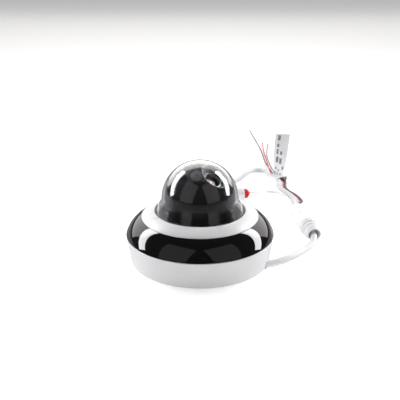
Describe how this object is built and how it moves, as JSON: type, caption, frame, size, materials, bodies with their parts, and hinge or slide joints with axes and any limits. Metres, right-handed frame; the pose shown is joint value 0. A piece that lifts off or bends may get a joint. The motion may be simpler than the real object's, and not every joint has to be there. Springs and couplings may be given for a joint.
{
  "type": "dome cctv camera",
  "caption": "Mini pan-tilt dome security camera: white base, black infrared band, clear bubble over a steerable lens ball, and a tail cable that splits into leads.",
  "frame": {"origin": "centre of the mounting face, on the camera's axis", "axes": "+Z from the mounting face up through the clear bubble; -Y is the front as seen; the tail of leads runs towards +Y"},
  "size_m": [0.1777, 0.475, 0.09],
  "materials": {
    "white_shell": "satin moulded ABS, faintly textured",
    "white_trim": "smooth satin white plastic",
    "ir_black": "polished infrared-transparent polycarbonate",
    "clear_dome": "clear polished polycarbonate bubble",
    "plate_steel": "zinc plated sheet",
    "screw_steel": "plated screw steel",
    "rubber_black": "soft black rubber",
    "rubber_white": "white gland rubber",
    "pcb_green": "solder-masked circuit board",
    "chip_black": "moulded chip packages",
    "heat_sink": "extruded aluminium",
    "capacitor": "capacitor cans",
    "header_cream": "nylon header",
    "harness_grey": "harness sheath",
    "deck_alu": "machined aluminium",
    "brass_post": "brass hex post",
    "led_clear": "lamp lens",
    "motor_can": "drawn steel can",
    "gear_nylon": "natural acetal",
    "black_satin": "satin black plastic",
    "black_gloss": "polished black shell",
    "liner_dark": "dark grey liner",
    "lens_metal": "anodised lens barrel",
    "ring_silver": "turned retaining ring",
    "lens_glass": "coated front element",
    "sensor": "image sensor",
    "cable_white": "white PVC sheath",
    "lead_grey": "pale grey PVC sheath",
    "wire_white": "white wire insulation",
    "wire_red": "red wire insulation",
    "wire_black": "black wire insulation",
    "wire_grey": "grey wire insulation",
    "tinned": "tinned copper strands",
    "boot_white": "moulded white boot",
    "red_collar": "red moulded collar",
    "socket_white": "white socket body",
    "contact_gold": "gold plated contacts",
    "label_paper": "white vinyl label"
  },
  "bodies": {
    "housing": {"base_shell": "white_shell", "mounting_plate": "plate_steel", "plate_screws": "screw_steel", "cable_gland": "rubber_white", "main_board": "pcb_green", "board_chips": "chip_black", "heat_sink": "heat_sink", "capacitors": "capacitor", "board_header": "header_cream", "inner_harness": "harness_grey", "chassis_deck": "deck_alu", "chassis_posts": "brass_post", "led_posts": "brass_post", "led_board": "pcb_green", "led_lamps": "led_clear", "led_screws": "screw_steel", "seam_gasket": "rubber_black", "window_band": "ir_black", "case_screws": "screw_steel", "bubble": "clear_dome", "bubble_seal": "rubber_black", "trim_ring": "white_trim", "trim_screws": "screw_steel", "inner_liner": "liner_dark", "pan_motor": "motor_can", "motor_screws": "screw_steel", "pan_retainer": "screw_steel", "main_cable": "cable_white", "power_lead": "cable_white", "network_lead": "lead_grey", "wire_white": "wire_white", "wire_red": "wire_red", "wire_black": "wire_black", "wire_grey": "wire_grey", "wire_tips": "tinned", "cable_splitter": "boot_white", "power_collar": "red_collar", "power_socket": "socket_white", "network_socket": "socket_white", "network_contacts": "contact_gold", "label_flag": "label_paper"},
    "pan_head": {"pan_gear": "gear_nylon", "turntable": "black_satin", "yoke_plates": "black_satin", "yoke_screws": "screw_steel", "cheek_caps": "black_gloss", "tilt_pins": "screw_steel", "tilt_gear": "gear_nylon"},
    "tilt_head": {"head_front": "black_gloss", "head_rear": "black_gloss", "lens_bezel": "black_satin", "lens_barrel": "lens_metal", "lens_ring": "ring_silver", "lens_glass": "lens_glass", "lens_holder": "black_satin", "sensor_board": "pcb_green", "image_sensor": "sensor", "tilt_motor": "motor_can"},
    "pan_drive": {"pan_pinion": "gear_nylon"},
    "tilt_drive": {"tilt_pinion": "gear_nylon"}
  },
  "joints": [
    {"name": "pan", "type": "hinge", "parent": "housing", "child": "pan_head", "pos_m": [0, 0, 0.021], "axis": [0, 0, 1], "range_deg": [-172, 172]},
    {"name": "tilt", "type": "hinge", "parent": "pan_head", "child": "tilt_head", "pos_m": [0, 0, 0.0564], "axis": [-0.6157, -0.788, 0], "range_deg": [-55, 35]},
    {"name": "pan_motor_shaft", "type": "hinge", "parent": "housing", "child": "pan_drive", "pos_m": [-0.0288, 0, 0.0187], "axis": [0, 0, 1], "range_deg": [-870, 870]},
    {"name": "tilt_motor_shaft", "type": "hinge", "parent": "tilt_head", "child": "tilt_drive", "pos_m": [-0.00705, 0.00551, 0.04362], "axis": [-0.6157, -0.788, 0], "range_deg": [-195, 130]}
  ],
  "couplings": [
    {"joint": "pan_motor_shaft", "follows": "pan", "ratio": -5},
    {"joint": "tilt_motor_shaft", "follows": "tilt", "ratio": 3.3333}
  ]
}
